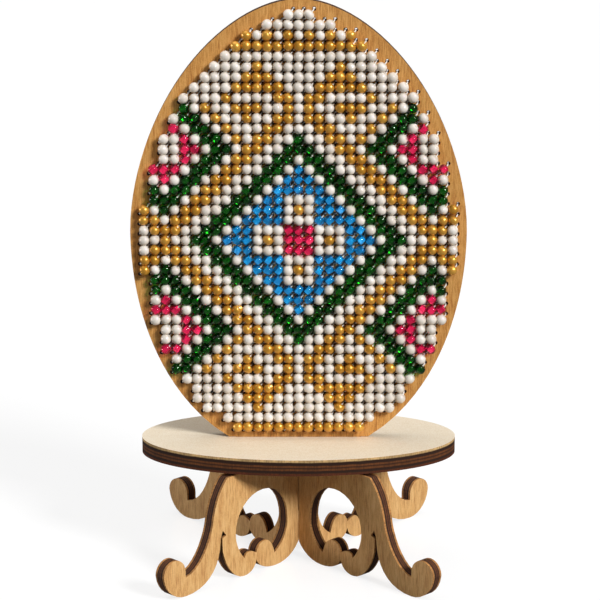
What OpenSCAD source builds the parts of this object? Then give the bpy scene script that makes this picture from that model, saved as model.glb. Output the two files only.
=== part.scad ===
// Pysanka egg: a flat plywood egg sewn with glass beads, standing in an oval plate on scroll legs.
// Front is -Y, up is +Z, and the origin is on the floor under the middle of the plate.

/* [Egg board] */
// Width of the egg board at its widest line
egg_w = 82; // [66:1:100]
// Height of the egg above the plate
egg_h = 109; // [90:1:132]
// Height of the widest line above the plate
belly_h = 52.5; // [42:0.5:64]
// Thickness of the egg board's plywood
board_t = 3; // [2:0.5:5]
// Width of the tab that stands in the plate
tab_w = 31; // [20:1:32]
// Bare wood beside the sewn field
side_rim = 3; // [2:0.5:6]
// Bare wood above the sewn field
top_rim = 3.1; // [3:0.1:8]
// Height of the lowest bead row above the plate
first_row_h = 3; // [2.5:0.5:6]

/* [Beads and thread] */
// Distance between neighbouring beads, in both directions
pitch = 2.5; // [2.5:0.1:3.2]
// Outer diameter of a bead
bead_d = 2.6; // [2:0.05:2.6]
// Length of a bead along its hole
bead_l = 2; // [1.4:0.05:2.1]
// Hole through a bead
bead_bore = 1; // [0.8:0.05:1.1]
// Thickness of the sewing thread
thread_d = 0.35; // [0.2:0.01:0.36]
// Holes burnt through the board for the thread
hole_d = 0.9; // [0.8:0.05:1.1]

/* [Plate] */
// Long axis of the oval plate
plate_w = 78; // [65:1:94]
// Short axis of the oval plate
plate_d = 41; // [34:1:50]
// Thickness of the plate
plate_t = 4; // [3:0.5:6]

/* [Legs] */
// Height of the legs under the plate
leg_h = 27.5; // [22:0.5:34]
// Thickness of the leg panels' plywood
leg_t = 3; // [2:0.5:4]
// Distance from the middle to the tip of a foot
foot_reach = 46.9; // [39:0.1:57]
// Radius of the round end of a foot
foot_r = 7; // [6:0.5:8]
// Radius of the curled head on a foot
foot_head_r = 3.5; // [3:0.25:4]
// Thickness of a foot from the floor up to its curl
foot_bar = 4.8; // [4:0.2:6]
// Width of the solid band under the plate
leg_band = 6.5; // [5:0.5:8]
// Distance from the middle to the oval window in a leg panel
window_start = 5.4; // [4.5:0.1:6.5]
// Width of the oval window
window_w = 17.8; // [15:0.2:18.6]
// Distance from the middle to the slit between the two legs of a side
slit_x = 27.9; // [27:0.1:29]
// Height of the upper end of that slit
slit_top = 13; // [11:0.5:15]

/* [Fits] */
// Clearance on each side of the tab in its slot and of one leg panel in the other
fit = 0.15; // [0.1:0.05:0.3]
// Gap under the egg board's shoulders and under its tab
seat_gap = 0.05; // [0.05:0.05:0.2]

/* [Hidden] */
$fn = 48;
PLATE_TOP = leg_h + plate_t;
EGG_BASE = PLATE_TOP + seat_gap;
BELLY = EGG_BASE + belly_h;
FRONT = -board_t / 2;
BACK = board_t / 2;
TAB_DEPTH = plate_t - seat_gap;
// roundness of the outlines above and below the egg's widest line, where 2 is an ellipse
TOP_ROUND = 1.8;
LOW_ROUND = 2.05;
FIELD_TOP_ROUND = 1.75;
FIELD_LOW_ROUND = 2.2;
// the plate cuts the lower half of the egg's outline and of the sewn field this far above their full depth
LOW_CUT = 5;
FIELD_CUT = 0.6;

// the beads stand this far off the board
BEAD_GAP = 0.05;
BEAD_Y = FRONT - bead_d / 2 - BEAD_GAP;
// angle at a bead's middle between its hole's axis and the rim of its end
BEAD_END = 20;
// the pattern's middle row is the 19th above the lowest row
MIDDLE_ROW = 19;
ROW_0 = PLATE_TOP + first_row_h + MIDDLE_ROW * pitch;
TOP_ROW = floor((egg_h - top_rim - first_row_h) / pitch) - MIDDLE_ROW;
LAST_COL = ceil(egg_w / 2 / pitch);
LEFT = [-LAST_COL, -1];
RIGHT = [1, LAST_COL];
UPPER = [1, TOP_ROW];
LOWER = [-MIDDLE_ROW, 0];

THREAD_COLOUR = "#f3f0ea";
// two stitches that share a hole each keep this far from the middle between them
THREAD_ROOM = 0.035;
// half the span of a stitch, which is also the radius of its arc
STITCH_R = pitch / sqrt(2) - thread_d / 2 - THREAD_ROOM;
// the stitch's middle lies this far over the bead's axis, so that its ends clear the bead's hole
STITCH_RISE = 0.12;
// the stitches' ends reach this far into the holes
STITCH_DIP = 0.3;
// the arcs on the back have this radius over half their span, pass the holes' rims at this gap,
// and end this far under the board's face
BACK_BEND = 1.26;
RIM_GAP = 0.03;
BACK_DIP = 0.1;

// the leg panels halve over each other at this height, one slit from above and the other from below
LAP_H = 12.4;
// the arch between the two front legs
ARCH_H = 7;
// the plate's edge stands this far past the legs' necks
NECK_IN = 0.75;
// a foot's curled head starts this far under the top of its round end
HEAD_DROP = 0.6;
// distances from the window's near side to the inner scroll's foot, the cleft between the two scrolls,
// the outer scroll's foot and the top of the window
SCROLL_FOOT = 4.3;
SCROLL_CLEFT = 10.8;
SCROLL_TOE = 15.1;
WINDOW_CROWN = 8.6;

WHITE = 0;
GOLD = 1;
GREEN = 2;
BLUE = 3;
PINK = 4;
SHADES = ["#ece7de", "#c08a1e", "#12551d", "#0a93db", "#e0185f"];
// the pattern repeats sideways about this column, and its side motifs about this row
MIRROR_COL = 13;
MIRROR_ROW = 9;
// columns plus rows from the middle bead: the flowers end at the first, the dark diamond at the
// second and the gold band at the third
FLOWER_SUM = 7;
DIAMOND_SUM = 10;
BAND_SUM = 14;
// tulip motif, upwards from this row, from the middle column outwards
TULIP_ROW = 12;
TULIP = [".....G..", ".G..GGG.", ".GG....G", "..GGGGG.", "...GGG..", "....G..."];
LAST_TULIP_ROW = TULIP_ROW + len(TULIP) - 1;

// ---- outlines and pattern ----

// half width at height z of an outline that is widest at the egg's widest line
function arch(t, half, n) = t >= 1 ? 0 : half * pow(1 - pow(t, n), 1 / n);
function egg_half(z, half, up, down, top_round, low_round) = z > BELLY
    ? arch((z - BELLY) / up, half, top_round)
    : arch((BELLY - z) / down, half, low_round);
function board_half(z) =
    egg_half(z, egg_w / 2, egg_h - belly_h, belly_h + LOW_CUT, TOP_ROUND, LOW_ROUND);
function field_half(z) = egg_half(
    z, egg_w / 2 - side_rim, egg_h - belly_h - top_rim, belly_h + FIELD_CUT,
    FIELD_TOP_ROUND, FIELD_LOW_ROUND);

// the beads' grid: row j is at this height, and its columns go from -row_end to row_end
function row_z(j) = ROW_0 + j * pitch;
function row_end(j) = floor(field_half(row_z(j)) / pitch);
function sewn(i, j) = j >= -MIDDLE_ROW && j <= TOP_ROW && abs(i) <= row_end(j);

// the pattern at column a and row b from its middle bead, which mirrors to all four sides
function folded(i) = abs(i) <= MIRROR_COL ? abs(i) : 2 * MIRROR_COL - abs(i);
function side_sum(a, b) = a + (b <= MIRROR_ROW ? b : 2 * MIRROR_ROW - b);
function in_tulip(a, b) = b >= TULIP_ROW && a < len(TULIP[0]) && TULIP[b - TULIP_ROW][a] == "G";
function field_motif(a, b) =
    in_tulip(a, b) || b > TULIP_ROW + 1 ? "tulip"
    : b > MIRROR_ROW && side_sum(a, b) >= BAND_SUM ? "side"
    : b > TULIP_ROW || b > MIRROR_ROW && a + b > BAND_SUM ? "tulip"
    : a + b > BAND_SUM ? "side"
    : a + b > DIAMOND_SUM ? "band"
    : a + b > FLOWER_SUM ? "diamond"
    : "flower";
function motif(i, j) =
    j > LAST_TULIP_ROW ? "crown"
    : j < -LAST_TULIP_ROW ? "foot"
    : field_motif(folded(i), abs(j));

// colour of the bead in column i and row j
function shade(i, j) = let (a = folded(i), b = abs(j), name = motif(i, j))
    name == "crown" || name == "foot" ? edge_shade(i, j)
    : name == "tulip" ? (in_tulip(a, b) ? GOLD : WHITE)
    : name == "side" ? side_shade(side_sum(a, b) - BAND_SUM, b)
    : middle_shade(a, b);
function edge_shade(i, j) =
    abs(j) == MIDDLE_ROW || (j == MIDDLE_ROW + 1 && abs(i) % 2 == 1) ? GOLD : WHITE;
function side_shade(out, b) =
    out == 0 ? GOLD
    : out == 2 || out == 3 ? GREEN
    : out == 5 || (out == 6 && b % 2 == 1) ? PINK
    : WHITE;
// a flower is a bead and its eight neighbours
function near(a, b, x, z) = max(abs(a - x), abs(b - z)) <= 1;
function middle_shade(a, b) = let (s = a + b)
    near(a, b, 0, 0) ? PINK
    : near(a, b, 3, 0) || near(a, b, 0, 3) ? (s == 3 && a * b == 0 ? GOLD : WHITE)
    : s <= FLOWER_SUM ? BLUE
    : s == DIAMOND_SUM - 1 || s == DIAMOND_SUM ? GREEN
    : s >= BAND_SUM - 1 ? GOLD
    : WHITE;

// points of a cubic curve from a to d, without its last point
function curve(a, b, c, d, n = 8) = [for (k = [0 : n - 1]) let (t = k / n, u = 1 - t)
    u * u * u * a + 3 * u * u * t * b + 3 * u * t * t * c + t * t * t * d];

// ---- wood ----

module egg_outline() {
    step = 3;
    top = EGG_BASE + egg_h;
    right = concat(
        [for (a = [0 : step : 90 - step]) let (z = EGG_BASE + belly_h * sin(a)) [board_half(z), z]],
        [for (a = [0 : step : 90 - step]) let (z = BELLY + (egg_h - belly_h) * sin(a)) [board_half(z), z]]
    );
    left = [for (k = [len(right) - 1 : -1 : 0]) [-right[k].x, right[k].y]];
    polygon(concat(right, [[0, top]], left));
}

// thread holes lie at the corners of the pitch squares round the beads
module thread_holes() {
    for (n = [-MIDDLE_ROW : TOP_ROW + 1])
        for (m = [-LAST_COL : LAST_COL])
            if (sewn(m, n) || sewn(m - 1, n - 1))
                translate([(m - 0.5) * pitch, row_z(n - 0.5)])
                    circle(d = hole_d, $fn = 16);
}

module egg_board() {
    color("#b07c38")
        translate([0, BACK, 0])
            rotate([90, 0, 0])
                linear_extrude(board_t)
                    difference() {
                        union() {
                            egg_outline();
                            translate([-tab_w / 2, EGG_BASE - TAB_DEPTH])
                                square([tab_w, TAB_DEPTH + 1]);
                        }
                        thread_holes();
                    }
}

module oval_plate() {
    color("#ead9bb")
        translate([0, 0, leg_h])
            linear_extrude(plate_t)
                difference() {
                    polygon([for (a = [0 : 4 : 356]) [plate_w / 2 * cos(a), plate_d / 2 * sin(a)]]);
                    square([tab_w + 2 * fit, board_t + 2 * fit], center = true);
                }
}

// one side of a leg panel, from the arch at the middle round the scrolls to the plate
module half_leg_outline() {
    edge = 1 / sqrt(0.5 / pow(plate_w / 2, 2) + 0.5 / pow(plate_d / 2, 2));
    neck = edge - NECK_IN;
    foot_x = foot_reach - foot_r;
    head = [foot_reach - foot_head_r, foot_r - HEAD_DROP];
    post = window_start + SCROLL_FOOT;
    cleft = window_start + SCROLL_CLEFT;
    toe = window_start + SCROLL_TOE;
    difference() {
        polygon(concat(
            [[-1, leg_h], [-1, ARCH_H], [0, ARCH_H]],
            curve([0.3, ARCH_H - 0.2], [1.6, 3.2], [4.6, 0], [post, 0]),
            curve([post, 0], [post + 3.6, 0], [cleft - 0.4, 1.4], [cleft, 3.2]),
            curve([cleft, 3.2], [cleft + 0.3, 1.5], [toe - 2.6, 0], [toe, 0]),
            curve([toe, 0], [slit_x - 3.6, 0], [slit_x - 0.6, 5], [slit_x, slit_top - 3]),
            slit_notch(),
            curve([slit_x + 0.6, slit_top - 4], [slit_x + 1.6, 3.6], [foot_x - 6.6, 0], [foot_x, 0]),
            [for (a = [270 : 12 : 342]) [foot_x, foot_r] + foot_r * [cos(a), sin(a)]],
            [for (a = [0 : 15 : 165]) head + foot_head_r * [cos(a), sin(a)]],
            curve([head.x - foot_head_r, head.y], [head.x - foot_head_r, head.y - 1],
                  [foot_x, foot_bar + 0.6], [foot_x, foot_bar], 4),
            curve([foot_x, foot_bar], [foot_x - 5, foot_bar + 0.6],
                  [slit_x + 4, leg_h * 0.42], [slit_x + 3, leg_h * 0.56]),
            curve([slit_x + 3, leg_h * 0.56], [slit_x + 2, leg_h * 0.8],
                  [neck + 2.4, leg_h - 2], [neck, leg_h])
        ));
        window_outline();
    }
}

// points of the arrowhead that ends the slit between the two legs of a side
function slit_notch() = [
    [slit_x - 0.2, slit_top - 1.4], [slit_x - 1.5, slit_top - 0.9], [slit_x - 0.4, slit_top + 0.6],
    [slit_x + 0.3, slit_top - 1.2], [slit_x + 0.5, slit_top - 3.2]
];

// the oval window, with the two scroll heads standing into its lower side
module window_outline() {
    x0 = window_start;
    x1 = window_start + window_w;
    crown = window_start + WINDOW_CROWN;
    top = leg_h - leg_band;
    cleft = window_start + SCROLL_CLEFT;
    polygon(concat(
        curve([x0, top * 0.53], [x0, 8], [x0 + 1.6, 5.2], [x0 + 4.6, 3.4]),
        curve([x0 + 4.6, 3.4], [x0 + 5.2, 6.2], [x0 + 6.4, 7.5], [x0 + 7.9, 7.5], 6),
        curve([x0 + 7.9, 7.5], [x0 + 9.5, 7.5], [cleft - 0.3, 6.4], [cleft, 5], 6),
        curve([cleft, 5], [cleft + 0.9, 5.6], [cleft + 1.8, 5.9], [cleft + 2.5, 5.9], 5),
        curve([cleft + 2.5, 5.9], [cleft + 3.3, 5.9], [cleft + 3.9, 5.4], [cleft + 4.1, 4.6], 5),
        curve([cleft + 4.1, 4.6], [x1 - 1.2, 6.4], [x1, 9], [x1, top * 0.55]),
        curve([x1, top * 0.55], [x1, top * 0.8], [crown + 5, top], [crown, top]),
        curve([crown, top], [x0 + 3.6, top], [x0, top * 0.82], [x0, top * 0.53])
    ));
}

module leg_outline() {
    half_leg_outline();
    mirror([1, 0])
        half_leg_outline();
}

module leg_panel(turn, slit_from, slit_to, shade) {
    slit = leg_t + 2 * fit;
    color(shade)
        rotate([0, 0, turn])
            difference() {
                translate([0, leg_t / 2, 0])
                    rotate([90, 0, 0])
                        linear_extrude(leg_t)
                            leg_outline();
                translate([-slit / 2, -leg_t, slit_from])
                    cube([slit, 2 * leg_t, slit_to - slit_from]);
            }
}

module leg_panel_left() {
    leg_panel(45, LAP_H, leg_h + 1, "#c99a5c");
}

module leg_panel_right() {
    leg_panel(-45, -1, LAP_H, "#9a7a50");
}

// ---- beads ----

// one bead with its hole along the stitch, which rises from lower left to upper right
module bead() {
    end = bead_l / 2 * cos(BEAD_END);
    bulge = [for (a = [BEAD_END : (180 - 2 * BEAD_END) / 4 : 180 - BEAD_END])
        [max(bead_bore / 2, bead_d / 2 * sin(a)), -bead_l / 2 * cos(a)]];
    rotate([0, 45, 0])
        rotate_extrude($fn = 24)
            polygon(concat(bulge, [[bead_bore / 2, end], [bead_bore / 2, -end]]));
}

// all beads of one motif and shade whose columns and rows are in the given ranges
module beads(name, tone, cols = [-LAST_COL, LAST_COL], rows = [-MIDDLE_ROW, TOP_ROW]) {
    color(SHADES[tone])
        for (j = [rows[0] : rows[1]])
            for (i = [cols[0] : cols[1]])
                if (sewn(i, j) && shade(i, j) == tone && motif(i, j) == name)
                    translate([i * pitch, BEAD_Y, row_z(j)])
                        bead();
}

// ---- thread ----

// an arc of thread in the XY plane, bulging to +Y from a level line, with both ends below that line
module thread_arc(radius, crest, dip) {
    middle = crest - radius;
    ends = asin((middle + dip) / radius);
    translate([0, middle, 0])
        rotate([0, 0, -ends])
            rotate_extrude(angle = 180 + 2 * ends)
                translate([radius, 0])
                    circle(d = thread_d, $fn = 16);
}

// a stitch rises from one hole, runs up through its bead and goes down into the next hole
module front_stitches(rows) {
    crest = bead_d / 2 + BEAD_GAP + STITCH_RISE;
    color(THREAD_COLOUR)
        for (j = [rows[0] : rows[1]])
            for (i = [-row_end(j) : row_end(j)])
                translate([i * pitch, FRONT, row_z(j)])
                    rotate([0, -45, 0])
                        mirror([0, 1, 0])
                            thread_arc(STITCH_R, crest, STITCH_DIP);
}

// on the back the thread drops one row from each stitch's end to the next stitch's start
module back_thread(rows) {
    drop = STITCH_R / sqrt(2);
    lean = pitch / 2 - drop;
    reach = norm([drop, lean]);
    radius = BACK_BEND * reach;
    rim = (pitch - hole_d) / 2;
    crest = radius - sqrt(radius * radius - rim * rim) + thread_d / 2 + RIM_GAP;
    color(THREAD_COLOUR)
        for (j = [rows[0] : rows[1]])
            for (i = [-row_end(j) : 1 : row_end(j) - 1])
                translate([(i + 0.5) * pitch, BACK, row_z(j)])
                    rotate([0, 90 - atan(lean / drop), 0])
                        thread_arc(radius, crest, BACK_DIP);
}

egg_board();
oval_plate();
leg_panel_left();
leg_panel_right();
beads("flower", WHITE);  // flower_white_beads
beads("flower", GOLD);  // flower_gold_beads
beads("flower", BLUE);  // flower_blue_beads
beads("flower", PINK);  // flower_pink_beads
beads("diamond", WHITE);  // diamond_white_beads
beads("diamond", GREEN);  // diamond_green_beads
beads("band", WHITE);  // band_white_beads
beads("band", GOLD);  // band_gold_beads
beads("side", WHITE, LEFT);  // side_white_beads_left
beads("side", WHITE, RIGHT);  // side_white_beads_right
beads("side", GOLD, LEFT);  // side_gold_beads_left
beads("side", GOLD, RIGHT);  // side_gold_beads_right
beads("side", GREEN, LEFT);  // side_green_beads_left
beads("side", GREEN, RIGHT);  // side_green_beads_right
beads("side", PINK, LEFT);  // side_pink_beads_left
beads("side", PINK, RIGHT);  // side_pink_beads_right
beads("tulip", WHITE, rows = UPPER);  // tulip_white_beads_upper
beads("tulip", WHITE, rows = LOWER);  // tulip_white_beads_lower
beads("tulip", GOLD, rows = UPPER);  // tulip_gold_beads_upper
beads("tulip", GOLD, rows = LOWER);  // tulip_gold_beads_lower
beads("crown", WHITE);  // crown_white_beads
beads("crown", GOLD);  // crown_gold_beads
beads("foot", WHITE);  // foot_white_beads
beads("foot", GOLD);  // foot_gold_beads
front_stitches(UPPER);  // front_stitches_upper
front_stitches(LOWER);  // front_stitches_lower
back_thread(UPPER);  // back_thread_upper
back_thread(LOWER);  // back_thread_lower
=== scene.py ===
"""Pysanka egg: a flat plywood egg sewn all over with glass beads, in an oval plate on scroll legs.

Front is -Y, up is +Z, and the origin is on the floor under the middle of the plate.
All sizes are in metres, and each pattern's scale is a real size on the object.
"""

import logging
import math
from dataclasses import dataclass, field
from enum import Enum

import bmesh
import bpy
import numpy as np
from mathutils import Euler, Matrix, Vector


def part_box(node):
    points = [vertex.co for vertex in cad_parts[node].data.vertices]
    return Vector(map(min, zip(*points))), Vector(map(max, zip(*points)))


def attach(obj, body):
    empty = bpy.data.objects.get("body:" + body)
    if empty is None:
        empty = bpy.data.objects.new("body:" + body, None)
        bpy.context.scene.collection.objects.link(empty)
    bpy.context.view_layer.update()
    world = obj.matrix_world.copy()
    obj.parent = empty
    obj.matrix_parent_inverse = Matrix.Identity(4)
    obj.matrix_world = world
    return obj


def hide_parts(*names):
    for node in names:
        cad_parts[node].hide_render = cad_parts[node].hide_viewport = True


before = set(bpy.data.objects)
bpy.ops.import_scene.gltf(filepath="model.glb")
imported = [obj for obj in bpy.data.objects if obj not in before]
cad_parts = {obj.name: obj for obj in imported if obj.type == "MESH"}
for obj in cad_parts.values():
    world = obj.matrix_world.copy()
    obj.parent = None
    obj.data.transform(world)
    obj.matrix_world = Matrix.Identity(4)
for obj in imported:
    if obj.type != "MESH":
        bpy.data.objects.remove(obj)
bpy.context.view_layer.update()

MM = 0.001
log = logging.getLogger("pysanka_egg")


class Body(Enum):
    """The bodies that pieces ride on."""

    STAND = "stand"
    EGG = "egg"


class Slot(Enum):
    """The record's material slots, one named for each kind of new piece."""

    EGG_WOOD = "egg_plywood"
    WHITE = "white_pearl_glass"
    GOLD = "gold_metallic_glass"
    GREEN = "green_lined_glass"
    BLUE = "blue_lined_glass"
    PINK = "pink_lined_glass"
    THREAD = "white_thread"


# ---- small helpers ----


def linear(hex_colour: str) -> tuple[float, float, float, float]:
    """Turns an sRGB colour into the linear one that shaders use.

    Args:
        hex_colour: the colour as "#rrggbb".

    Returns:
        Linear red, green and blue, and an alpha of 1.
    """
    parts = [int(hex_colour[k : k + 2], 16) / 255 for k in (1, 3, 5)]
    toned = [c / 12.92 if c <= 0.04045 else ((c + 0.055) / 1.055) ** 2.4 for c in parts]
    return (*toned, 1.0)


def add_node(tree: bpy.types.NodeTree, kind: str, settings: dict | None = None,
             inputs: dict | None = None) -> bpy.types.Node:
    """Adds a node with its settings and links.

    Args:
        tree: the node tree to add to.
        kind: the node's type name.
        settings: properties to set; "stops" gives a colour ramp's positions and colours.
        inputs: a value, or another node's output, for each input by name or number.

    Returns:
        The new node.
    """
    node = tree.nodes.new(kind)
    for name, value in (settings or {}).items():
        if name != "stops":
            setattr(node, name, value)
            continue
        elements = node.color_ramp.elements
        while len(elements) < len(value):
            elements.new(1.0)
        for element, (position, colour) in zip(elements, value):
            element.position = position
            element.color = linear(colour)
    for key, value in (inputs or {}).items():
        if isinstance(value, bpy.types.NodeSocket):
            tree.links.new(value, node.inputs[key])
        else:
            node.inputs[key].default_value = value
    return node


def new_material(name: str) -> tuple[bpy.types.Material, bpy.types.NodeTree]:
    """Makes an empty node material.

    Args:
        name: the finish's name.

    Returns:
        The material and its node tree.
    """
    material = bpy.data.materials.new(name)
    material.use_nodes = True
    material.node_tree.nodes.clear()
    return material, material.node_tree


def deselect_all() -> None:
    """Leaves object mode with nothing selected."""
    if bpy.context.object and bpy.context.object.mode != "OBJECT":
        bpy.ops.object.mode_set(mode="OBJECT")
    bpy.ops.object.select_all(action="DESELECT")


def select_where(obj: bpy.types.Object, mode: str, test) -> None:
    """Opens a mesh for editing with only the wanted vertices, edges or faces selected.

    Args:
        obj: the mesh object, which is the active one.
        mode: "VERT", "EDGE" or "FACE".
        test: says of each such bmesh element whether it is wanted.
    """
    bpy.ops.object.mode_set(mode="EDIT")
    bpy.ops.mesh.select_mode(type=mode)
    bpy.ops.mesh.select_all(action="DESELECT")
    work = bmesh.from_edit_mesh(obj.data)
    for element in {"VERT": work.verts, "EDGE": work.edges, "FACE": work.faces}[mode]:
        element.select_set(test(element))
    work.select_flush_mode()
    bmesh.update_edit_mesh(obj.data)


def apply_place(obj: bpy.types.Object) -> None:
    """Moves an object's place, turn and scale into its mesh."""
    bpy.ops.object.mode_set(mode="OBJECT")
    bpy.ops.object.transform_apply(location=True, rotation=True, scale=True)


def node_points(name: str) -> np.ndarray:
    """Gives the corner points of a CAD node's mesh, one row each."""
    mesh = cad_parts[name].data
    points = np.empty(len(mesh.vertices) * 3, np.float32)
    mesh.vertices.foreach_get("co", points)
    return points.reshape(-1, 3)


def joined_copies(model: bpy.types.Object, places: list[Matrix], name: str,
                  tones: list[float], smooth: bool = True) -> bpy.types.Object:
    """Joins a copy of one model at each place into a single piece.

    Args:
        model: the mesh that repeats, at the origin.
        places: where each copy goes.
        name: the new piece's name.
        tones: a number from 0 to 1 for each copy, kept as the attribute "tone".
        smooth: whether the copies are shaded smooth.

    Returns:
        The new piece, at the origin.
    """
    corners = np.array([v.co[:] for v in model.data.vertices])
    faces = [tuple(p.vertices) for p in model.data.polygons]
    count = len(corners)
    points = np.empty((len(places) * count, 3))
    all_faces = []
    for k, place in enumerate(places):
        turn = np.array(place.to_3x3())
        points[k * count : (k + 1) * count] = corners @ turn.T + np.array(place.translation)
        all_faces += [tuple(v + k * count for v in face) for face in faces]
    mesh = bpy.data.meshes.new(name)
    mesh.from_pydata(points.tolist(), [], all_faces)
    mesh.attributes.new("tone", "FLOAT", "POINT").data.foreach_set("value", np.repeat(tones, count))
    if smooth:
        mesh.shade_smooth()
    mesh.validate()
    piece = bpy.data.objects.new(name, mesh)
    bpy.context.scene.collection.objects.link(piece)
    return piece


def hand_over(piece: bpy.types.Object, body: Body, slot: Slot, finish: bpy.types.Material,
              *nodes: str) -> None:
    """Gives a new piece its finish and its place in the assembly, and reports it.

    Args:
        piece: the new piece.
        body: the body that it rides on.
        slot: the record's material slot; not used.
        finish: its material.
        nodes: the CAD nodes that it stands for.
    """
    piece.data.materials.clear()
    piece.data.materials.append(finish)
    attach(piece, body.value)
    if nodes:
        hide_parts(*nodes)
    log.info("%s: %d faces on %s", piece.name, len(piece.data.polygons), body.value)


# ---- finishes ----


@dataclass(frozen=True)
class LaserPlywood:
    """Birch plywood cut by laser: a sanded or stained face veneer, and charred edges.

    The face shows fine straight grain and short pores. The cut edge shows its plies through the
    char, with fine lines across them where the beam pulsed.
    """

    name: str
    # the face veneer's late wood, middle and early wood
    face: tuple[str, str, str]
    # the cut edge's deepest char and burnt ply, then the outer ply at the near and at the far face
    edge: tuple[str, str, str, str]
    thickness: float
    # the turn that brings the thickness to Y and the grain to Z, then the middle plane's height
    turn: tuple[float, float, float] = (0.0, 0.0, 0.0)
    middle: float = 0.0
    roughness: float = 0.58
    # how strongly the grain shows, where 1 is plain birch
    figure: float = 1.0
    # shares of the growth bands and of the sanded speckle in the pattern; fine grain has the rest
    bands: float = 0.25
    speckle: float = 0.2
    # width of the finest grain lines and of the growth bands, and how much longer they are
    line: float = 0.22 * MM
    band: float = 2.2 * MM
    stretch: float = 14.0
    # share of the cut edge, from either face, that the beam leaves light
    rind: float = 0.1

    def material(self) -> bpy.types.Material:
        """Builds the plywood's material.

        Returns:
            The material, which tells face from cut edge by the surface's own direction.
        """
        material, tree = new_material(self.name)
        place = add_node(tree, "ShaderNodeTexCoord")
        local = add_node(tree, "ShaderNodeMapping", {"vector_type": "POINT"}, {
            "Vector": place.outputs["Object"], "Rotation": self.turn,
            "Location": (0.0, self.middle, 0.0)})
        facing = add_node(tree, "ShaderNodeMapping", {"vector_type": "VECTOR"}, {
            "Vector": place.outputs["Normal"], "Rotation": self.turn})
        facing = add_node(tree, "ShaderNodeSeparateXYZ", inputs={0: facing.outputs[0]})
        facing = add_node(tree, "ShaderNodeMath", {"operation": "ABSOLUTE"}, {0: facing.outputs["Y"]})
        on_face = add_node(tree, "ShaderNodeMath", {"operation": "GREATER_THAN"},
                           {0: facing.outputs[0], 1: 0.7})
        face, face_height = self._face(tree, local.outputs[0])
        edge, edge_height = self._edge(tree, local.outputs[0])
        # inputs 6 and 7 are a colour mix's two colours
        colour = add_node(tree, "ShaderNodeMix", {"data_type": "RGBA"}, {
            0: on_face.outputs[0], 6: edge, 7: face})
        height = add_node(tree, "ShaderNodeMix", {"data_type": "FLOAT"}, {
            0: on_face.outputs[0], 2: edge_height, 3: face_height})
        rough = add_node(tree, "ShaderNodeMapRange", {}, {
            "Value": on_face.outputs[0], "To Min": 0.85, "To Max": self.roughness})
        bump = add_node(tree, "ShaderNodeBump", {}, {
            "Height": height.outputs[0], "Strength": 0.5, "Distance": 0.06 * MM})
        shader = add_node(tree, "ShaderNodeBsdfPrincipled", {}, {
            "Base Color": colour.outputs[2], "Roughness": rough.outputs[0],
            "Normal": bump.outputs[0], "Specular IOR Level": 0.35})
        add_node(tree, "ShaderNodeOutputMaterial", {}, {"Surface": shader.outputs[0]})
        return material

    def _face(self, tree: bpy.types.NodeTree, local: bpy.types.NodeSocket) -> tuple:
        """Builds the face veneer.

        Args:
            tree: the material's nodes.
            local: coordinates with the thickness on Y and the grain on Z.

        Returns:
            The colour output and the height output.
        """
        fine_place = add_node(tree, "ShaderNodeMapping", {}, {
            "Vector": local, "Scale": (1 / self.line, 1 / self.band, 1 / (self.line * self.stretch))})
        fine = add_node(tree, "ShaderNodeTexNoise", {}, {
            "Vector": fine_place.outputs[0], "Scale": 1.0, "Detail": 3.0, "Roughness": 0.7})
        grit = add_node(tree, "ShaderNodeTexNoise", {}, {
            "Vector": local, "Scale": 1 / (0.3 * MM), "Detail": 2.0, "Roughness": 0.7})
        band_place = add_node(tree, "ShaderNodeMapping", {}, {
            "Vector": local, "Scale": (1 / self.band, 0.0, 1 / (self.band * self.stretch * 0.5)),
            "Location": (3.7, 0.0, 1.9)})
        band = add_node(tree, "ShaderNodeTexNoise", {}, {
            "Vector": band_place.outputs[0], "Scale": 1.0, "Detail": 2.0, "Distortion": 0.6})
        # birch pores are short dark dashes, 0.1 mm wide and drawn twice as wide so that they show
        pore_place = add_node(tree, "ShaderNodeMapping", {}, {
            "Vector": local, "Scale": (1 / (0.2 * MM), 1.0, 1 / (2.4 * MM))})
        pore = add_node(tree, "ShaderNodeTexNoise", {}, {
            "Vector": pore_place.outputs[0], "Scale": 1.0, "Detail": 1.0})
        pore = add_node(tree, "ShaderNodeMapRange", {}, {
            "Value": pore.outputs[0], "From Min": 0.62, "From Max": 0.72})
        mixed = add_node(tree, "ShaderNodeMath", {"operation": "MULTIPLY"}, {
            0: band.outputs[0], 1: self.bands})
        mixed = add_node(tree, "ShaderNodeMath", {"operation": "MULTIPLY_ADD"}, {
            0: grit.outputs[0], 1: self.speckle, 2: mixed.outputs[0]})
        mixed = add_node(tree, "ShaderNodeMath", {"operation": "MULTIPLY_ADD"}, {
            0: fine.outputs[0], 1: 1 - self.bands - self.speckle, 2: mixed.outputs[0]})
        spread = 0.1 / self.figure
        dark, middle, light = self.face
        ramp = add_node(tree, "ShaderNodeValToRGB", {
            "stops": [(0.5 - spread, dark), (0.5, middle), (0.5 + spread, light)]},
            {"Fac": mixed.outputs[0]})
        pored = add_node(tree, "ShaderNodeMath", {"operation": "MULTIPLY"}, {
            0: pore.outputs[0], 1: 0.35 * self.figure})
        colour = add_node(tree, "ShaderNodeMix", {"data_type": "RGBA"}, {
            0: pored.outputs[0], 6: ramp.outputs[0], 7: linear(dark)})
        height = add_node(tree, "ShaderNodeMath", {"operation": "SUBTRACT"}, {
            0: fine.outputs[0], 1: pore.outputs[0]})
        return colour.outputs[2], height.outputs[0]

    def _edge(self, tree: bpy.types.NodeTree, local: bpy.types.NodeSocket) -> tuple:
        """Builds the charred cut edge.

        Args:
            tree: the material's nodes.
            local: coordinates with the thickness on Y and the grain on Z.

        Returns:
            The colour output and the height output.
        """
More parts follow.
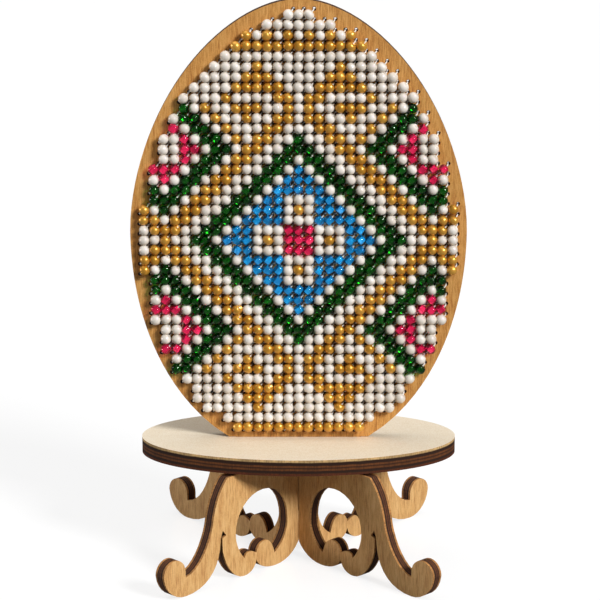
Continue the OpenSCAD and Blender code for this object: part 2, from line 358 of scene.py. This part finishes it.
        # the beam leaves lines about 0.3 mm apart across the edge, nearly straight through it
        beam_place = add_node(tree, "ShaderNodeMapping", {}, {
            "Vector": local, "Scale": (1 / (0.3 * MM), 1 / (2.0 * MM), 1 / (0.3 * MM))})
        beam = add_node(tree, "ShaderNodeTexNoise", {}, {
            "Vector": beam_place.outputs[0], "Scale": 1.0, "Detail": 2.0})
        soot = add_node(tree, "ShaderNodeTexNoise", {}, {
            "Vector": local, "Scale": 1 / (3.5 * MM), "Detail": 3.0})
        parts = add_node(tree, "ShaderNodeSeparateXYZ", {}, {0: local})
        # 0 at one face and 1 at the other, with the ply lines a little wavy
        across = add_node(tree, "ShaderNodeMath", {"operation": "MULTIPLY_ADD"}, {
            0: parts.outputs["Y"], 1: 1 / self.thickness, 2: 0.46})
        across = add_node(tree, "ShaderNodeMath", {"operation": "MULTIPLY_ADD"}, {
            0: soot.outputs[0], 1: 0.08, 2: across.outputs[0]})
        char, burnt, near, far = self.edge
        plies = add_node(tree, "ShaderNodeValToRGB", {"stops": [
            (0.0, near), (self.rind, near), (self.rind + 0.06, char), (0.34, char), (0.38, burnt),
            (0.46, burnt), (0.5, char), (0.6, burnt), (0.66, burnt), (0.7, char),
            (0.94 - self.rind, char), (1.0 - self.rind, far), (1.0, far)]},
            {"Fac": across.outputs[0]})
        shade = add_node(tree, "ShaderNodeMath", {"operation": "MULTIPLY"}, {
            0: beam.outputs[0], 1: soot.outputs[0]})
        shade = add_node(tree, "ShaderNodeMapRange", {}, {
            "Value": shade.outputs[0], "From Min": 0.15, "From Max": 0.36, "To Min": 0.55, "To Max": 0.0})
        colour = add_node(tree, "ShaderNodeMix", {"data_type": "RGBA"}, {
            0: shade.outputs[0], 6: plies.outputs[0], 7: linear(char)})
        return colour.outputs[2], beam.outputs[0]


@dataclass(frozen=True)
class BeadGlass:
    """Pressed and tumbled seed bead glass, fire-polished, so its gloss is sharp and clean."""

    name: str
    # the palest and deepest colours among beads of one batch
    pale: str
    deep: str
    roughness: float = 0.2
    metallic: float = 0.0
    transmission: float = 0.0
    coat: float = 0.0
    coat_roughness: float = 0.06
    # thickness of the lustre film in nanometres, where 0 has none
    film: float = 0.0
    ior: float = 1.5

    def material(self) -> bpy.types.Material:
        """Builds the glass, with each bead's own place between the pale and the deep colour."""
        material, tree = new_material(self.name)
        tone = add_node(tree, "ShaderNodeAttribute", {"attribute_name": "tone"})
        ramp = add_node(tree, "ShaderNodeValToRGB", {"stops": [(0.0, self.deep), (1.0, self.pale)]},
                        {"Fac": tone.outputs["Fac"]})
        shader = add_node(tree, "ShaderNodeBsdfPrincipled", {}, {
            "Base Color": ramp.outputs[0], "Roughness": self.roughness,
            "Metallic": self.metallic, "Transmission Weight": self.transmission,
            "Coat Weight": self.coat, "Coat Roughness": self.coat_roughness, "IOR": self.ior,
            "Thin Film Thickness": self.film})
        surface = shader
        if self.transmission:
            # the lamps shine straight through to the lining, as they do through thin clear glass
            path = add_node(tree, "ShaderNodeLightPath")
            clear = add_node(tree, "ShaderNodeBsdfTransparent", {}, {"Color": linear(self.pale)})
            surface = add_node(tree, "ShaderNodeMixShader", {}, {
                0: path.outputs["Is Shadow Ray"], 1: shader.outputs[0], 2: clear.outputs[0]})
        add_node(tree, "ShaderNodeOutputMaterial", {}, {"Surface": surface.outputs[0]})
        return material


@dataclass(frozen=True)
class SewingThread:
    """Two-ply polyester sewing thread: white, matt, with a soft sheen and a fine twist."""

    name: str = "white polyester sewing thread"
    colour: str = "#f4f0ea"
    shadow: str = "#cfc6ba"
    # the twist repeats every 0.4 mm on real thread
    twist: float = 0.4 * MM

    def material(self) -> bpy.types.Material:
        """Builds the thread's material."""
        material, tree = new_material(self.name)
        place = add_node(tree, "ShaderNodeTexCoord")
        twist = add_node(tree, "ShaderNodeTexWave", {"bands_direction": "DIAGONAL"}, {
            "Vector": place.outputs["Object"], "Scale": 0.314 / self.twist, "Distortion": 1.5})
        ramp = add_node(tree, "ShaderNodeValToRGB", {"stops": [(0.1, self.shadow), (0.6, self.colour)]},
                        {"Fac": twist.outputs["Fac"]})
        bump = add_node(tree, "ShaderNodeBump", {}, {
            "Height": twist.outputs["Fac"], "Strength": 0.4, "Distance": 0.05 * MM})
        shader = add_node(tree, "ShaderNodeBsdfPrincipled", {}, {
            "Base Color": ramp.outputs[0], "Roughness": 0.7, "Sheen Weight": 0.3,
            "Normal": bump.outputs[0]})
        add_node(tree, "ShaderNodeOutputMaterial", {}, {"Surface": shader.outputs[0]})
        return material


@dataclass(frozen=True)
class CharredLip:
    """The raised rim of resin and char that the laser leaves round a hole in birch."""

    name: str = "charred and amber rims of laser-cut holes"
    char: str = "#2b1609"
    amber: str = "#a9671f"

    def material(self) -> bpy.types.Material:
        """Builds the rim's material, which changes from char to amber from place to place."""
        material, tree = new_material(self.name)
        place = add_node(tree, "ShaderNodeTexCoord")
        patch = add_node(tree, "ShaderNodeTexNoise", {}, {
            "Vector": place.outputs["Object"], "Scale": 1 / (0.7 * MM), "Detail": 2.0})
        ramp = add_node(tree, "ShaderNodeValToRGB", {"stops": [(0.42, self.char), (0.62, self.amber)]},
                        {"Fac": patch.outputs[0]})
        shader = add_node(tree, "ShaderNodeBsdfPrincipled", {}, {
            "Base Color": ramp.outputs[0], "Roughness": 0.55})
        add_node(tree, "ShaderNodeOutputMaterial", {}, {"Surface": shader.outputs[0]})
        return material


# ---- sub-assemblies ----


@dataclass
class BeadGrid:
    """The grid that the beads are sewn on, found from the CAD beads themselves."""

    pitch: float = 0.0
    middle: Vector = field(default_factory=Vector)
    cells: dict[str, list[tuple[int, int]]] = field(default_factory=dict)
    # the pink square is 3 beads wide and the blue diamond 15
    SQUARE: int = 3
    DIAMOND: int = 15

    def read(self) -> None:
        """Finds the pitch, the middle bead, and the column and row of every bead in each node."""
        square = node_points("flower_pink_beads")
        diamond = node_points("flower_blue_beads")
        self.pitch = float(np.ptp(diamond[:, 0]) - np.ptp(square[:, 0])) / (self.DIAMOND - self.SQUARE)
        self.middle = Vector((square.min(0) + square.max(0)) / 2)
        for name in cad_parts:
            if "_beads" in name:
                steps = (node_points(name) - np.array(self.middle)) / self.pitch
                pairs = np.unique(np.round(steps[:, [0, 2]]).astype(int), axis=0)
                self.cells[name] = [(int(i), int(j)) for i, j in pairs]
        log.info("bead grid: pitch %.3f mm, %d beads", self.pitch / MM, len(self.sewn()))

    def sewn(self) -> set[tuple[int, int]]:
        """Gives the column and row of every bead."""
        return {cell for cells in self.cells.values() for cell in cells}

    def at(self, i: float, j: float, depth: float) -> Vector:
        """Gives the point at column i and row j, at this Y."""
        return Vector((self.middle.x + i * self.pitch, depth, self.middle.z + j * self.pitch))

    def holes(self) -> list[tuple[float, float]]:
        """Gives the column and row of every thread hole: each stitch has one at either end."""
        ends = {(i + s, j + s) for i, j in self.sewn() for s in (-0.5, 0.5)}
        return sorted(ends)


@dataclass
class EggBoard:
    """The egg-shaped board with its thread holes, and the charred lips of those holes."""

    grid: BeadGrid
    hole: float = 0.9 * MM
    lip: float = 0.07 * MM
    front: float = 0.0
    back: float = 0.0

    def build(self) -> None:
        """Dresses the board and makes the holes' lips on its front and back."""
        low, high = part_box("egg_board")
        self.front = low.y
        self.back = high.y
        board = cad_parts["egg_board"]
        board.data.materials.clear()
        board.data.materials.append(LaserPlywood(
            name="stained birch plywood, laser-cut", face=("#ac6f33", "#cd934b", "#dfa962"),
            edge=("#2a1509", "#54301a", "#b98048", "#a56f3c"), thickness=high.y - low.y).material())
        lip = self._lip_model()
        finish = CharredLip().material()
        for name, depth in (("hole_lips_front", self.front), ("hole_lips_back", self.back)):
            places = [Matrix.Translation(self.grid.at(i, j, depth)) for i, j in self.grid.holes()]
            piece = joined_copies(lip, places, name, [0.5] * len(places))
            hand_over(piece, Body.EGG, Slot.EGG_WOOD, finish)
        bpy.data.objects.remove(lip)

    def _lip_model(self) -> bpy.types.Object:
        """Models one lip as a flattened ring round a hole, sunk half its height into the face."""
        deselect_all()
        bpy.ops.mesh.primitive_torus_add(
            major_segments=10, minor_segments=4, major_radius=self.hole / 2 + self.lip / 3,
            minor_radius=self.lip, rotation=(math.pi / 2, 0, 0))
        lip = bpy.context.object
        lip.scale = (1, 1, 0.6)
        apply_place(lip)
        return lip


@dataclass
class Stand:
    """The oval plate and the two leg panels that halve over each other under it."""

    turn: float = math.radians(45)
    leg_thickness: float = 3 * MM

    def build(self) -> None:
        """Dresses the plate and the two leg panels."""
        low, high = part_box("oval_plate")
        thickness = high.z - low.z
        plate = LaserPlywood(
            name="sanded birch plywood, laser-cut", face=("#e8d5b6", "#f2e3ca", "#f8ecd8"),
            edge=("#2b1405", "#6c3c17", "#dcb47a", "#5e2c10"), thickness=thickness, figure=0.8, bands=0.08,
            speckle=0.62, rind=0.12,
            turn=(math.pi / 2, -math.pi / 2, 0.0), middle=(low.z + high.z) / 2, roughness=0.5)
        self._dress("oval_plate", plate)
        for side, turn in (("left", -self.turn), ("right", self.turn)):
            leg = LaserPlywood(
                name=f"plain birch plywood, laser-cut, {side} panel", face=("#b98450", "#d9a869", "#e6bb80"),
                edge=("#2c170c", "#6a3d1f", "#c48a4e", "#c48a4e"), thickness=self.leg_thickness,
                rind=0.17, turn=(0.0, 0.0, turn))
            self._dress(f"leg_panel_{side}", leg)

    def _dress(self, name: str, finish: LaserPlywood) -> None:
        """Gives a CAD node its plywood."""
        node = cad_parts[name]
        node.data.materials.clear()
        node.data.materials.append(finish.material())
        log.info("%s: dressed in %s", name, finish.name)


@dataclass
class Beadwork:
    """All the beads: rounded seed beads with a hole along each stitch."""

    grid: BeadGrid
    outer: float = 2.6 * MM
    length: float = 2.3 * MM
    segments: int = 12
    rings: int = 7
    # the coloured lining of a clear bead's square hole, and its wall
    lining: float = 1.25 * MM
    lining_wall: float = 0.12 * MM
    # how far beads differ: turn in degrees, size as a share, and place
    sway: float = 8.5
    growth: float = 0.055
    drift: float = 0.07 * MM
    seed: int = 11
    slant: float = math.radians(45)

    def build(self) -> None:
        """Makes every bead node's beads, and the linings of the clear ones."""
        random = np.random.default_rng(self.seed)
        bead = self._bead_model()
        lining = self._lining_model()
        finishes = self._finishes()
        for name in sorted(self.grid.cells):
            slot, glass, lined = finishes[name.split("_")[1]]
            places = [self._place(cell, random) for cell in self.grid.cells[name]]
            tones = random.random(len(places)).tolist()
            piece = joined_copies(bead, places, name.replace("_beads", "_seed_beads"), tones)
            hand_over(piece, Body.EGG, slot, glass, name)
            if lined:
                cores = joined_copies(lining, places, name.replace("_beads", "_bead_linings"), tones, False)
                hand_over(cores, Body.EGG, slot, lined)
        bpy.data.objects.remove(bead)
        bpy.data.objects.remove(lining)

    def _finishes(self) -> dict:
        """Gives each colour's slot, glass and lining."""
        return {
            "white": (Slot.WHITE, BeadGlass(
                "opaque white glass with pearl lustre", "#f2ebe0", "#e0d7c9", roughness=0.28,
                coat=0.6, coat_roughness=0.08, film=320.0).material(), None),
            "gold": (Slot.GOLD, BeadGlass(
                "glass with fired gold lustre", "#e6ab45", "#ce922c", roughness=0.36,
                metallic=0.5, coat=0.3, coat_roughness=0.15).material(), None),
            "green": (Slot.GREEN, BeadGlass(
                "clear green glass", "#2e9a35", "#1c7d24", roughness=0.03,
                transmission=1.0, ior=1.4).material(), BeadGlass(
                "green foil lining", "#6be06a", "#35ad3e", roughness=0.16, metallic=0.9).material()),
            "blue": (Slot.BLUE, BeadGlass(
                "clear glass over blue lining", "#c3d0dc", "#b2c2d0", roughness=0.03,
                transmission=1.0, ior=1.4).material(), BeadGlass(
                "bright blue lining", "#00ace8", "#0097d4", roughness=0.45).material()),
            "pink": (Slot.PINK, BeadGlass(
                "clear glass over pink lining", "#d8b4c0", "#cca4b2", roughness=0.03,
                transmission=1.0, ior=1.4).material(), BeadGlass(
                "magenta-pink lining", "#fb2a6e", "#e8155c", roughness=0.45).material()),
        }

    def _place(self, cell: tuple[int, int], random: np.random.Generator) -> Matrix:
        """Gives a bead's place, a little off the grid as hand sewing leaves it.

        Args:
            cell: the bead's column and row.
            random: the source of its small differences.

        Returns:
            The bead's place, turn and size.
        """
        lean = np.radians(random.normal(0, self.sway, 3)).clip(-0.3, 0.3)
        shift = random.normal(0, self.drift, 3).clip(-0.12 * MM, 0.12 * MM)
        size = 1 + random.normal(0, self.growth, 3).clip(-0.08, 0.05)
        turn = Euler((lean[0], self.slant + lean[1], lean[2])).to_matrix().to_4x4()
        spot = self.grid.at(cell[0], cell[1], self.grid.middle.y) + Vector(shift)
        return Matrix.Translation(spot) @ turn @ Matrix.Diagonal((*size, 1))

    def _bead_model(self) -> bpy.types.Object:
        """Models one bead: a sphere without its poles, drawn out to its length and bored."""
        deselect_all()
        step = math.pi / self.rings
        bpy.ops.mesh.primitive_uv_sphere_add(segments=self.segments, ring_count=self.rings, radius=1)
        bead = bpy.context.object
        belly = math.cos(step / 2)
        bead.scale = (self.outer / 2 / belly, self.outer / 2 / belly, self.length / 2 / math.cos(step))
        apply_place(bead)
        select_where(bead, "VERT", lambda v: math.hypot(v.co.x, v.co.y) < 0.01 * self.outer)
        bpy.ops.mesh.delete(type="VERT")
        select_where(bead, "EDGE", lambda e: e.is_boundary)
        bpy.ops.mesh.bridge_edge_loops()
        bpy.ops.mesh.select_all(action="SELECT")
        bpy.ops.mesh.normals_make_consistent(inside=False)
        bpy.ops.object.mode_set(mode="OBJECT")
        return bead

    def _lining_model(self) -> bpy.types.Object:
        """Models the lining of a square hole: a square tube a little shorter than its bead."""
        deselect_all()
        bpy.ops.mesh.primitive_cube_add(size=1)
        tube = bpy.context.object
        tube.scale = (self.lining, self.lining, self.length * 0.64)
        apply_place(tube)
        select_where(tube, "FACE", lambda f: abs(f.normal.z) > 0.9)
        bpy.ops.mesh.inset(thickness=self.lining_wall)
        bpy.ops.mesh.bridge_edge_loops()
        bpy.ops.mesh.select_all(action="SELECT")
        bpy.ops.mesh.normals_make_consistent(inside=False)
        bpy.ops.object.mode_set(mode="OBJECT")
        return tube


@dataclass
class Sewing:
    """The thread: a stitch through every bead, and a short drop on the back between stitches."""

    grid: BeadGrid
    board: EggBoard
    thread: float = 0.35 * MM
    # along the stitch, strands that share a hole lie this far to either side of its middle
    apart: float = 0.19 * MM
    # how deep a strand is followed into its hole
    sunk: float = 0.9 * MM
    back_rise: float = 0.3 * MM
    steps: int = 10

    def build(self) -> None:
        """Makes the stitches on the front and the drops on the back, in an upper and a lower half."""
        finish = SewingThread().material()
        stitch = self._strand("stitch", self._stitch_path())
        drop = self._strand("drop", self._drop_path())
        cells = sorted(self.grid.sewn())
        for half, wanted in (("upper", lambda j: j > 0), ("lower", lambda j: j <= 0)):
            stitches = [Matrix.Translation(self.grid.at(i, j, self.board.front))
                        for i, j in cells if wanted(j)]
            piece = joined_copies(stitch, stitches, f"stitches_{half}", [0.5] * len(stitches))
            hand_over(piece, Body.EGG, Slot.THREAD, finish, f"front_stitches_{half}")
            drops = [Matrix.Translation(self.grid.at(i + 0.5, j, self.board.back))
                     for i, j in cells if wanted(j) and (i + 1, j) in cells]
            piece = joined_copies(drop, drops, f"thread_drops_{half}", [0.5] * len(drops))
            hand_over(piece, Body.EGG, Slot.THREAD, finish, f"back_thread_{half}")
        bpy.data.objects.remove(stitch)
        bpy.data.objects.remove(drop)

    def _stitch_path(self) -> list[Vector]:
        """Gives one stitch's path, up from a hole, through the bead and down into the next hole."""
        half = self.grid.pitch / math.sqrt(2) - self.apart
        rise = self.board.front - self.grid.middle.y
        along = Vector((1, 0, 1)).normalized()
        path = []
        for k in range(self.steps + 1):
            angle = math.pi * k / self.steps
            path.append(-along * half * math.cos(angle) + Vector((0, -rise * math.sin(angle) ** 0.6, 0)))
        deep = Vector((0, self.sunk, 0))
        return [path[0] + deep, *path, path[-1] + deep]

    def _drop_path(self) -> list[Vector]:
        """Gives the path on the back, from one stitch's end down to the next one's start."""
        lean = self.apart / math.sqrt(2)
        top = Vector((-lean, 0, self.grid.pitch / 2 - lean))
        path = []
        for k in range(self.steps + 1):
            angle = math.pi * k / self.steps
            path.append(top * math.cos(angle) + Vector((0, self.back_rise * math.sin(angle) ** 0.6, 0)))
        deep = Vector((0, -self.sunk, 0))
        return [path[0] + deep, *path, path[-1] + deep]

    def _strand(self, name: str, path: list[Vector]) -> bpy.types.Object:
        """Makes a round strand of thread along a path.

        Args:
            name: the strand's name.
            path: the points that it follows.

        Returns:
            The strand as a mesh at the origin.
        """
        deselect_all()
        curve = bpy.data.curves.new(name, "CURVE")
        curve.dimensions = "3D"
        curve.bevel_depth = self.thread / 2
        curve.bevel_resolution = 1
        curve.use_fill_caps = True
        spline = curve.splines.new("POLY")
        spline.points.add(len(path) - 1)
        for point, place in zip(spline.points, path):
            point.co = (*place, 1)
        strand = bpy.data.objects.new(name, curve)
        bpy.context.scene.collection.objects.link(strand)
        bpy.context.view_layer.objects.active = strand
        strand.select_set(True)
        bpy.ops.object.convert(target="MESH")
        return bpy.context.object


@dataclass
class Studio:
    """The pale floor, the soft lights and the camera."""

    # the camera stands in front of the egg, a little above it, and looks down
    camera_at: tuple[float, float, float] = (0.36 * MM, -583.6 * MM, 217.6 * MM)
    look_down: float = math.radians(14.54)
    lens: float = 147.1
    sensor: float = 36.0
    floor_size: float = 6.0
    # each sun's direction, how strongly it lights a surface that faces it, and its width in degrees
    key: tuple = ((0.6, -0.6, 0.53), 1.05, 16.0)
    top: tuple = ((-0.1, 0.15, 1.0), 0.36, 60.0)
    left: tuple = ((-1.0, 0.08, 0.12), 0.4, 20.0)
    fill: float = 0.12
    # how much of the floor's brightness stays the same in the shadows, and how much light it throws back
    floor_glow: float = 0.8
    floor_bounce: float = 0.22

    def build(self) -> None:
        """Makes the floor, the lights, the surroundings and the camera."""
        self._camera()
        self._floor()
        self._sun("key", *self.key)
        self._sun("top", *self.top)
        self._sun("left", *self.left)
        self._surroundings()
        bpy.context.scene.view_settings.view_transform = "Standard"

    def _camera(self) -> None:
        """Sets up the camera."""
        data = bpy.data.cameras.new("camera")
        data.lens = self.lens
        data.sensor_width = self.sensor
        data.clip_start = 10 * MM
        camera = bpy.data.objects.new("camera", data)
        camera.location = self.camera_at
        camera.rotation_euler = (math.pi / 2 - self.look_down, 0, 0)
        bpy.context.scene.collection.objects.link(camera)
        bpy.context.scene.camera = camera

    def _floor(self) -> None:
        """Makes a pale floor that looks nearly white and throws little light back at the object."""
        deselect_all()
        bpy.ops.mesh.primitive_plane_add(size=self.floor_size)
        floor = bpy.context.object
        floor.name = "floor"
        material, tree = new_material("pale studio floor")
        path = add_node(tree, "ShaderNodeLightPath")
        lit = add_node(tree, "ShaderNodeBsdfPrincipled", {}, {
            "Base Color": [1.03 - self.floor_glow] * 3 + [1.0], "Roughness": 0.25,
            "Specular IOR Level": 0.2})
        glow = add_node(tree, "ShaderNodeEmission", {}, {"Strength": self.floor_glow})
        seen = add_node(tree, "ShaderNodeAddShader", {}, {0: lit.outputs[0], 1: glow.outputs[0]})
        thrown = add_node(tree, "ShaderNodeBsdfDiffuse", {}, {"Color": [self.floor_bounce] * 3 + [1.0]})
        either = add_node(tree, "ShaderNodeMixShader", {}, {
            0: path.outputs["Is Camera Ray"], 1: thrown.outputs[0], 2: seen.outputs[0]})
        add_node(tree, "ShaderNodeOutputMaterial", {}, {"Surface": either.outputs[0]})
        floor.data.materials.append(material)

    def _sun(self, name: str, towards: tuple[float, float, float], share: float, width: float) -> None:
        """Adds a wide, soft, far light.

        Args:
            name: the light's name.
            towards: the direction in which it stands.
            share: the brightness that it gives a white surface that faces it.
            width: its width in degrees.
        """
        data = bpy.data.lights.new(name, "SUN")
        data.energy = math.pi * share
        data.angle = math.radians(width)
        light = bpy.data.objects.new(name, data)
        light.location = towards
        light.rotation_euler = Vector(towards).to_track_quat("Z", "Y").to_euler()
        bpy.context.scene.collection.objects.link(light)

    def _surroundings(self) -> None:
        """Makes white surroundings that are seen bright and light the object softly."""
        world = bpy.data.worlds.new("white studio")
        world.use_nodes = True
        tree = world.node_tree
        tree.nodes.clear()
        path = add_node(tree, "ShaderNodeLightPath")
        strength = add_node(tree, "ShaderNodeMapRange", {}, {
            "Value": path.outputs["Is Camera Ray"], "To Min": self.fill, "To Max": 1.0})
        white = add_node(tree, "ShaderNodeBackground", {}, {
            "Color": linear("#ffffff"), "Strength": strength.outputs[0]})
        add_node(tree, "ShaderNodeOutputWorld", {}, {"Surface": white.outputs[0]})
        bpy.context.scene.world = world


def main() -> None:
    """Builds the egg and its studio, and reports each piece."""
    logging.basicConfig(level=logging.INFO, format="%(name)s: %(message)s")
    Studio().build()
    grid = BeadGrid()
    grid.read()
    board = EggBoard(grid)
    board.build()
    Stand().build()
    Beadwork(grid).build()
    Sewing(grid, board).build()


if __name__ == "__main__":
    main()
